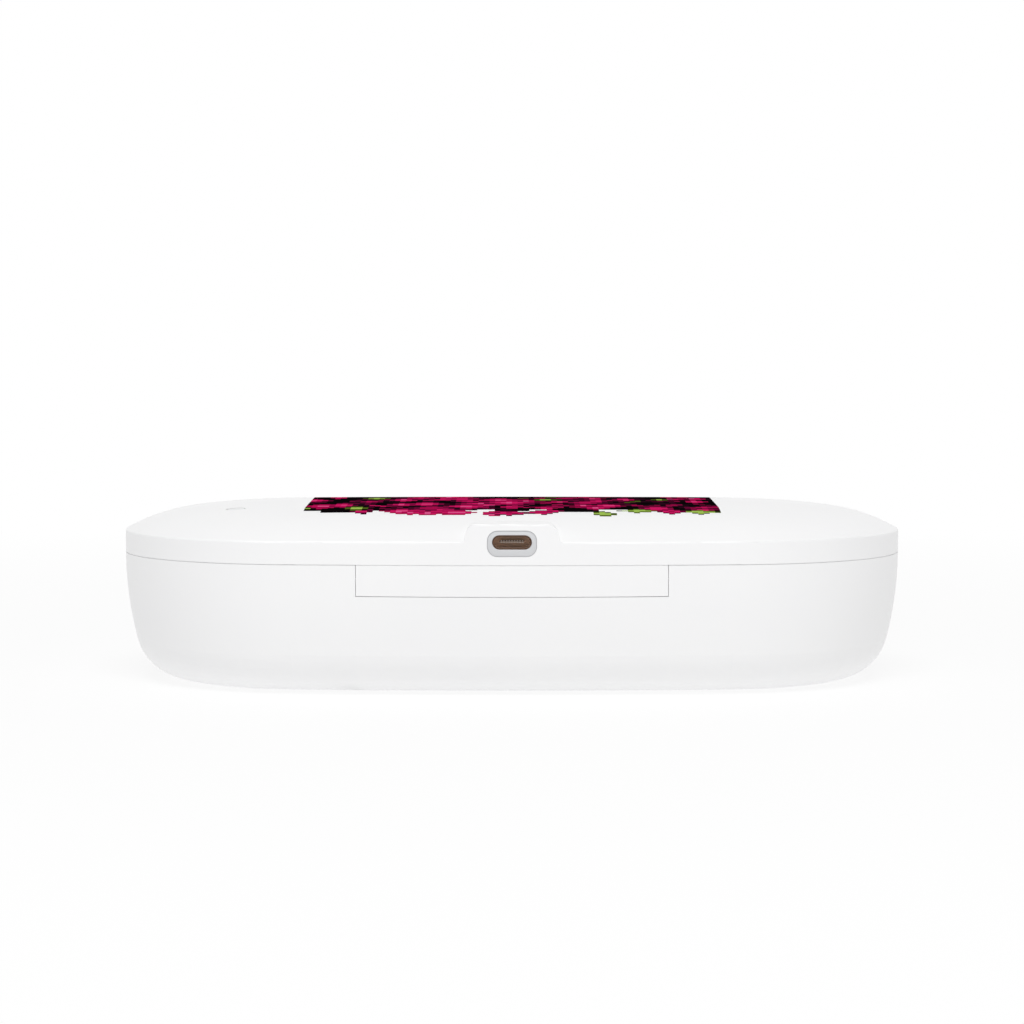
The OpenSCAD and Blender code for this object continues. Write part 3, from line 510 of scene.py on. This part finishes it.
def ink_material():
    """Dull ink whose colour comes from each face's number, a little uneven from droplets."""
    material, tree, place = start_material("UV-cured ink on ABS")
    number = add_node(tree, "ShaderNodeAttribute", {"attribute_name": "ink"})
    ramp = add_node(tree, "ShaderNodeValToRGB", links={"Fac": number.outputs["Fac"]})
    stops = ramp.color_ramp
    stops.interpolation = "CONSTANT"
    for index, value in enumerate(INKS):
        at = index / len(INKS)
        stop = stops.elements[index] if index < 2 else stops.elements.new(at)
        stop.position = at
        stop.color = colour(value)
    droplets = add_node(tree, "ShaderNodeTexNoise", {"Scale": repeats(0.5), "Detail": 2.0},
                        {"Vector": place})
    worn = add_node(tree, "ShaderNodeHueSaturation", links={"Color": ramp.outputs["Color"]})
    strength = add_node(tree, "ShaderNodeMapRange", {"To Min": 0.85, "To Max": 1.15},
                        {"Value": droplets.outputs["Fac"]})
    tree.links.new(strength.outputs["Result"], worn.inputs["Value"])
    gloss = add_node(tree, "ShaderNodeMapRange", {"To Min": 0.6, "To Max": 0.75},
                     {"Value": droplets.outputs["Fac"]})
    bump = add_node(tree, "ShaderNodeBump", {"Strength": 0.1, "Distance": 0.01 * MM},
                    {"Height": droplets.outputs["Fac"]})
    shader = add_node(tree, "ShaderNodeBsdfPrincipled", {"IOR": 1.5, "Specular IOR Level": 0.0},
                      {"Base Color": worn.outputs["Color"], "Roughness": gloss.outputs["Result"],
                       "Normal": bump.outputs["Normal"]})
    return finish_material(material, shader)


lid_print = ink_sheet()
lid_print.data.materials.append(ink_material())
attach(lid_print, "lid")
print("ink cells:", len(lid_print.data.polygons))

# %% [markdown]
# ## The collar round the socket
#
# A pale collar is pressed into the recess round the socket's mouth. The solid holds it as a plain
# cone. The photograph shows its upper half lighter than its lower half, as a face would be that
# comes closer to the surface and has a soft lip, so it gets that form here; how deep it really
# lies is a guess. Its section is a short list of points: how far each lies from the outer outline
# to the mouth, and how deep. Outlines between those two are blended, and the mesh joins them all
# in one closed loop.

# %% Collar
CORNER_STEPS = 12
QUARTERS = ((1, 1, 0), (-1, 1, 1), (-1, -1, 2), (1, -1, 3))
COLLAR_SHARP = math.radians(50)
WELD = 0.0001 * MM
# Each outline: half its width, half its height, the radius of its corners, the height of its middle
COLLAR_WIDE = (6.65, 3.5, 2.75, 42.0)
COLLAR_MOUTH = (5.35, 1.95, 1.95, 42.35)
COLLAR_SECTION = [(0, 2.5), (0, 0.4), (0.03, 0.32), (0.08, 0.29), (0.5, 0.14), (0.84, 0.02),
                  (0.94, 0.02), (1, 0.14), (1, 2.5)]
SOLID_COLLAR_DEPTH = 0.8


def collar_ring(share, depth):
    """Points on the outline at a share of the way from the wide one to the mouth's."""
    half_x, half_z, corner, middle = [
        a + (b - a) * share for a, b in zip(COLLAR_WIDE, COLLAR_MOUTH)]
    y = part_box("port_bezel")[0][1] + (depth - SOLID_COLLAR_DEPTH) * MM
    points = []
    for side_x, side_z, start in QUARTERS:
        for step in range(CORNER_STEPS + 1):
            angle = math.pi / 2 * (start + step / CORNER_STEPS)
            x = side_x * (half_x - corner) + corner * math.cos(angle)
            z = middle + side_z * (half_z - corner) + corner * math.sin(angle)
            points.append((x * MM, y, z * MM))
    return points


def collar_piece():
    """The collar as one closed loop of outlines, with soft shading but for its sharp edges."""
    mesh = bmesh.new()
    loops = [[mesh.verts.new(point) for point in collar_ring(share, depth)]
             for share, depth in COLLAR_SECTION]
    for near, far in zip(loops, loops[1:] + loops[:1]):
        for k in range(len(near)):
            n = (k + 1) % len(near)
            mesh.faces.new([near[k], near[n], far[n], far[k]])
    bmesh.ops.remove_doubles(mesh, verts=mesh.verts, dist=WELD)
    bmesh.ops.recalc_face_normals(mesh, faces=mesh.faces)
    data = bpy.data.meshes.new("socket_collar")
    mesh.to_mesh(data)
    mesh.free()
    data.shade_smooth()
    data.set_sharp_from_angle(angle=COLLAR_SHARP)
    piece = bpy.data.objects.new("socket_collar", data)
    bpy.context.collection.objects.link(piece)
    return piece


socket_collar = collar_piece()
socket_collar.data.materials.append(collar)
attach(socket_collar, "lid")
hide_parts("port_bezel")
print("collar faces:", len(socket_collar.data.polygons))

# %% [markdown]
# ## Screws
#
# The solids hold each screw as a plain head on a plain shank. The real ones form their own thread
# in plastic: a pan head with a cross recess, over a coarse thread. One screw is made here. Its
# outline is turned round its axis, and the thread is a ridge that rises by one pitch in each turn,
# which a formula for the radius gives without any cutting. The cross is cut with a boolean, because
# its straight wings don't follow the turned mesh. Copies then stand where the solids stand, each
# turned by its own angle, as a screwdriver leaves them.

# %% One screw
HEAD_RADIUS = 1.75 * MM
HEAD_HEIGHT = 1.1 * MM
SHANK_RADIUS = 1.0 * MM
CORE_RADIUS = 0.74 * MM
PITCH = 0.8 * MM
RINGS_PER_PITCH = 8
THIN_TIP = 0.6
AROUND = 32
HEAD_OUTLINE = [(0.55, 0.0), (1.1, 0.03), (1.45, 0.12), (1.66, 0.32), (1.74, 0.6), (1.75, 1.1)]
WING = 0.24
WING_REACH = 1.0
WING_TAPER = 0.55
RECESS_DEPTH = 0.8 * MM
BIT_START = -0.1 * MM
SCREW_SHARP = math.radians(35)


def mesh_from_rings(name, rings):
    """A closed mesh through rings of points, with a fan over each end."""
    mesh = bmesh.new()
    loops = [[mesh.verts.new(point) for point in ring] for ring in rings]
    for low, high in zip(loops, loops[1:]):
        for k in range(len(low)):
            n = (k + 1) % len(low)
            mesh.faces.new([low[k], low[n], high[n], high[k]])
    mesh.faces.new(list(reversed(loops[0])))
    mesh.faces.new(loops[-1])
    bmesh.ops.recalc_face_normals(mesh, faces=mesh.faces)
    data = bpy.data.meshes.new(name)
    mesh.to_mesh(data)
    mesh.free()
    return data


def turned(radius, z):
    """A ring round the axis; radius is a number, or a function of the angle."""
    points = []
    for k in range(AROUND):
        angle = math.tau * k / AROUND
        r = radius(angle) if callable(radius) else radius
        points.append((r * math.cos(angle), r * math.sin(angle), z))
    return points


def thread_radius(z, tip):
    """How far the thread reaches at a height, as a function of the angle."""
    def at(angle):
        phase = (z / PITCH - angle / math.tau) % 1
        ridge = max(0.0, 1 - abs(phase - 0.5) * 4)
        fade = min(1.0, (tip - z) / PITCH)
        full = CORE_RADIUS + (SHANK_RADIUS - CORE_RADIUS) * ridge
        return full * (THIN_TIP + (1 - THIN_TIP) * fade)
    return at


def screw_mesh(length):
    """One screw with its head's face on z = 0 and its tip up."""
    rings = [turned(r * MM, z * MM) for r, z in HEAD_OUTLINE]
    rings.append(turned(CORE_RADIUS, HEAD_HEIGHT))
    steps = round((length - HEAD_HEIGHT) / PITCH * RINGS_PER_PITCH)
    for step in range(1, steps + 1):
        z = HEAD_HEIGHT + (length - HEAD_HEIGHT) * step / steps
        rings.append(turned(thread_radius(z, length), z))
    screw = bpy.data.objects.new("screw", mesh_from_rings("screw", rings))
    cross = [(WING, WING), (WING, WING_REACH), (-WING, WING_REACH), (-WING, WING),
             (-WING_REACH, WING), (-WING_REACH, -WING), (-WING, -WING), (-WING, -WING_REACH),
             (WING, -WING_REACH), (WING, -WING), (WING_REACH, -WING), (WING_REACH, WING)]
    ends = [(BIT_START, 1.0), (RECESS_DEPTH, WING_TAPER)]
    bit = bpy.data.objects.new("bit", mesh_from_rings("bit", [
        [(x * taper * MM, y * taper * MM, z) for x, y in cross] for z, taper in ends]))
    for piece in (screw, bit):
        bpy.context.collection.objects.link(piece)
    cut = screw.modifiers.new("cross recess", "BOOLEAN")
    cut.operation = "DIFFERENCE"
    cut.object = bit
    view = bpy.context.evaluated_depsgraph_get()
    cut_mesh = bpy.data.meshes.new_from_object(screw.evaluated_get(view))
    for piece in (screw, bit):
        bpy.data.objects.remove(piece)
    return cut_mesh


# %% [markdown]
# The places come from the solids: each separate solid in a node is one screw. They all point up, so
# the lowest corner of each gives the face of its head.

# %% Screws in place
SAME_POINT = 0.001 * MM


def separate_solids(node_name):
    """The lowest and highest corner of each separate solid in a node."""
    mesh = bmesh.new()
    mesh.from_mesh(nodes[node_name].data)
    bmesh.ops.remove_doubles(mesh, verts=mesh.verts, dist=SAME_POINT)
    left = set(mesh.verts)
    boxes = []
    while left:
        found = {left.pop()}
        edge = set(found)
        while edge:
            edge = {e.other_vert(v) for v in edge for e in v.link_edges} - found
            found |= edge
        left -= found
        boxes.append(([min(v.co[k] for v in found) for k in range(3)],
                      [max(v.co[k] for v in found) for k in range(3)]))
    mesh.free()
    return sorted(boxes)


def put_screws(node_name, body):
    """Stands a detailed screw in place of each screw of a node."""
    boxes = separate_solids(node_name)
    low, high = boxes[0]
    one = screw_mesh(high[2] - low[2])
    joined = bmesh.new()
    for low, high in boxes:
        before = len(joined.verts)
        joined.from_mesh(one)
        joined.verts.ensure_lookup_table()
        angle = draw.uniform(0, math.tau)
        middle = Vector(((low[0] + high[0]) / 2, (low[1] + high[1]) / 2, low[2]))
        turn = Matrix.Translation(middle) @ Matrix.Rotation(angle, 4, "Z")
        bmesh.ops.transform(joined, matrix=turn, verts=joined.verts[before:])
    data = bpy.data.meshes.new(node_name + "_cross_head")
    joined.to_mesh(data)
    joined.free()
    data.materials.append(zinc)
    for face in data.polygons:
        face.use_smooth = True
    data.set_sharp_from_angle(angle=SCREW_SHARP)
    piece = bpy.data.objects.new(data.name, data)
    bpy.context.collection.objects.link(piece)
    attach(piece, body)
    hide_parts(node_name)
    print(data.name, len(boxes), "screws of", len(one.polygons), "faces")


put_screws("cover_screws", "lid")
put_screws("hinge_screws", "lid")
put_screws("bracket_screws", "lid")
put_screws("tray_screws", "base")

# %% [markdown]
# ## Lamps in their packages
#
# Behind each quartz window sits an ultraviolet lamp: a ceramic tile of 3.5 mm with a round well, a
# gold-plated floor in the well and the chip on it, a dark violet square of sapphire. The solid is
# only the tile's block. Here the tile gets its well, as rings that run from its outline down into
# the well, and floor and chip are pieces of their own, because they are other materials.

# %% Lamp packages
WELL_RADIUS = 1.3 * MM
WELL_FOOT = 0.95 * MM
WELL_DEPTH = 0.7 * MM
TILE_BEVEL = 0.08 * MM
CHIP_HALF = 0.5 * MM
CHIP_HEIGHT = 0.25 * MM
CHIP_CORNER = 0.02 * MM
PLATE_THICK = 0.02 * MM
PLATE_RADIUS = WELL_FOOT - 0.01 * MM


def square_ring(half, z, corner):
    """A ring of points on a rounded square, at the same angles as a turned ring's."""
    points = []
    for k in range(AROUND):
        angle = math.tau * (k + 0.5) / AROUND
        c, s = math.cos(angle), math.sin(angle)
        x = max(-1.0, min(1.0, c / max(abs(c), abs(s)))) * half
        y = max(-1.0, min(1.0, s / max(abs(c), abs(s)))) * half
        pull = max(0.0, (abs(x) + abs(y) - (2 * half - corner)) / 2)
        points.append((x - math.copysign(pull, x), y - math.copysign(pull, y), z))
    return points


def round_ring(radius, z):
    """A ring of points round the axis, half a step turned to match the square one."""
    return [(radius * math.cos(math.tau * (k + 0.5) / AROUND),
             radius * math.sin(math.tau * (k + 0.5) / AROUND), z) for k in range(AROUND)]


def put_copies(name, one, boxes, finish, replaced=()):
    """Stands a copy of a mesh, its face on z = 0, at the foot of each box."""
    joined = bmesh.new()
    for low, high in boxes:
        before = len(joined.verts)
        joined.from_mesh(one)
        joined.verts.ensure_lookup_table()
        middle = Vector(((low[0] + high[0]) / 2, (low[1] + high[1]) / 2, low[2]))
        bmesh.ops.translate(joined, vec=middle, verts=joined.verts[before:])
    data = bpy.data.meshes.new(name)
    joined.to_mesh(data)
    joined.free()
    data.materials.append(finish)
    piece = bpy.data.objects.new(name, data)
    bpy.context.collection.objects.link(piece)
    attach(piece, "lid")
    if replaced:
        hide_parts(*replaced)
    print(name, len(boxes), "copies of", len(one.polygons), "faces")


lamp_boxes = separate_solids("uv_leds")
tile_low, tile_high = lamp_boxes[0]
tile_half = (tile_high[0] - tile_low[0]) / 2
tile_height = tile_high[2] - tile_low[2]
tile = mesh_from_rings("tile", [
    square_ring(tile_half, tile_height, TILE_BEVEL), square_ring(tile_half, TILE_BEVEL, TILE_BEVEL),
    square_ring(tile_half - TILE_BEVEL, 0, TILE_BEVEL), round_ring(WELL_RADIUS, 0),
    round_ring(WELL_FOOT, WELL_DEPTH)])
plated = mesh_from_rings("plated", [
    round_ring(PLATE_RADIUS, WELL_DEPTH - PLATE_THICK), round_ring(PLATE_RADIUS, WELL_DEPTH)])
chip = mesh_from_rings("chip", [
    square_ring(CHIP_HALF, WELL_DEPTH - CHIP_HEIGHT, CHIP_CORNER),
    square_ring(CHIP_HALF, WELL_DEPTH - PLATE_THICK, CHIP_CORNER)])
gold = metal("gold-plated copper", "#C9A35A", "#D8B56C", (0.25, 0.35), 0.2)
sapphire = dull("sapphire chip, violet", "#3B2F63", "#4A3C78", (0.08, 0.16), 0.4, 0.1, 0.05, 1.76)
put_copies("lamp_tiles", tile, lamp_boxes, ceramic, ["uv_leds"])
put_copies("lamp_floors", plated, lamp_boxes, gold)
put_copies("lamp_chips", chip, lamp_boxes, sapphire)

# %% [markdown]
# ## Floor and background
#
# The picture is a product shot on white. The floor is a sheet of opal acrylic lit from below, so
# it is a light on the case of its own, besides the lamps and the world. Towards the case it is an
# even glow by the share UNDER_GLOW, and a dull white by the rest. With that share at 0 and the
# lamps unchanged, the walls and the rim come out 2 to 5 levels of 255 darker and the lower edge,
# a few pixels above the ground, 27 darker; the top stays as it is. The photograph shows that edge
# nearly as bright as the wall, and the glow is there to match it.
#
# Seen by the camera the sheet comes out as white: near the case only in part, where it keeps the
# soft shadow, and further out wholly, where it runs into the background. The world behind it is
# white to the camera, to reflections and through clear parts, and lights the scene softly.

# %% Floor and world
NEAR_GLOW = 0.8
UNDER_GLOW = 0.68
GLOW_START = 0.14
GLOW_FULL = 0.6
AMBIENT = 0.48
CLOUD_MM = 400
FLOOR_SIZE = 12


def seen_directly(tree):
    """1 on rays from the camera, off a glossy face or through a clear one, and 0 on the rest."""
    path = add_node(tree, "ShaderNodeLightPath")
    either = add_node(tree, "ShaderNodeMath", {"operation": "MAXIMUM"},
                      {0: path.outputs["Is Camera Ray"], 1: path.outputs["Is Glossy Ray"]})
    return add_node(tree, "ShaderNodeMath", {"operation": "MAXIMUM"},
                    {0: either.outputs[0], 1: path.outputs["Is Transmission Ray"]}).outputs[0]


def floor_sheet():
    """White opal sheet: dull from above, and glowing by a share that depends on who looks."""
    material, tree, place = start_material("opal acrylic sheet, white")
    cloud = add_node(tree, "ShaderNodeTexNoise", {"Scale": repeats(CLOUD_MM)}, {"Vector": place})
    white = add_node(tree, "ShaderNodeMix", {"data_type": "RGBA"}, {"Factor": cloud.outputs["Fac"]})
    white.inputs["A"].default_value = colour("#FBFBFB")
    white.inputs["B"].default_value = colour("#FDFDFD")
    dull_face = add_node(tree, "ShaderNodeBsdfDiffuse", links={"Color": white.outputs["Result"]})
    glow = add_node(tree, "ShaderNodeEmission", {"Strength": 1.0})
    away = add_node(tree, "ShaderNodeVectorMath", {"operation": "LENGTH"}, {0: place})
    glowing = add_node(tree, "ShaderNodeMapRange",
                       {"From Min": GLOW_START, "From Max": GLOW_FULL, "To Min": NEAR_GLOW},
                       {"Value": away.outputs["Value"]})
    seen = add_node(tree, "ShaderNodeMath", {"operation": "MULTIPLY"},
                    {0: seen_directly(tree), 1: glowing.outputs["Result"]})
    share = add_node(tree, "ShaderNodeMath", {"operation": "MAXIMUM", 1: UNDER_GLOW},
                     {0: seen.outputs[0]})
    mixed = add_node(tree, "ShaderNodeMixShader",
                     links={0: share.outputs[0], 1: dull_face.outputs[0], 2: glow.outputs[0]})
    return finish_material(material, mixed)


bpy.ops.mesh.primitive_plane_add(size=FLOOR_SIZE)
floor = bpy.context.object
floor.name = "floor"
floor.data.materials.append(floor_sheet())

world = bpy.data.worlds.new("studio")
bpy.context.scene.world = world
world.use_nodes = True
world.node_tree.nodes.clear()
soft = add_node(world.node_tree, "ShaderNodeMapRange", {"To Min": AMBIENT, "To Max": 1.0},
                {"Value": seen_directly(world.node_tree)})
sky = add_node(world.node_tree, "ShaderNodeBackground", {"Color": (1, 1, 1, 1)},
               {"Strength": soft.outputs["Result"]})
add_node(world.node_tree, "ShaderNodeOutputWorld", links={"Surface": sky.outputs[0]})
print("floor and world ready")

# %% [markdown]
# ## Lamps
#
# Two soft boxes do the rest. The strong one stands behind the camera, a little over half way up to
# overhead. It lights the dome's slope most, the back wall less and the round ends least, which is
# why the case darkens towards left and right. The weak one, nearly overhead, lifts the top.

# %% Lamps
def soft_box(name, place, target, size, power):
    """A square area lamp that looks at a point."""
    data = bpy.data.lights.new(name, "AREA")
    data.shape = "RECTANGLE"
    data.size, data.size_y = size
    data.energy = power
    lamp = bpy.data.objects.new(name, data)
    bpy.context.collection.objects.link(lamp)
    lamp.location = place
    lamp.rotation_euler = (Vector(target) - Vector(place)).to_track_quat("-Z", "Y").to_euler()
    print("lamp:", name, power, "W")


CASE_MIDDLE = (0, 0, 0.03)
soft_box("key_box", (0, -1.6, 2.12), CASE_MIDDLE, (1.6, 1.2), 32)
soft_box("top_box", (0, -0.5, 2.3), CASE_MIDDLE, (2.0, 2.0), 5.5)
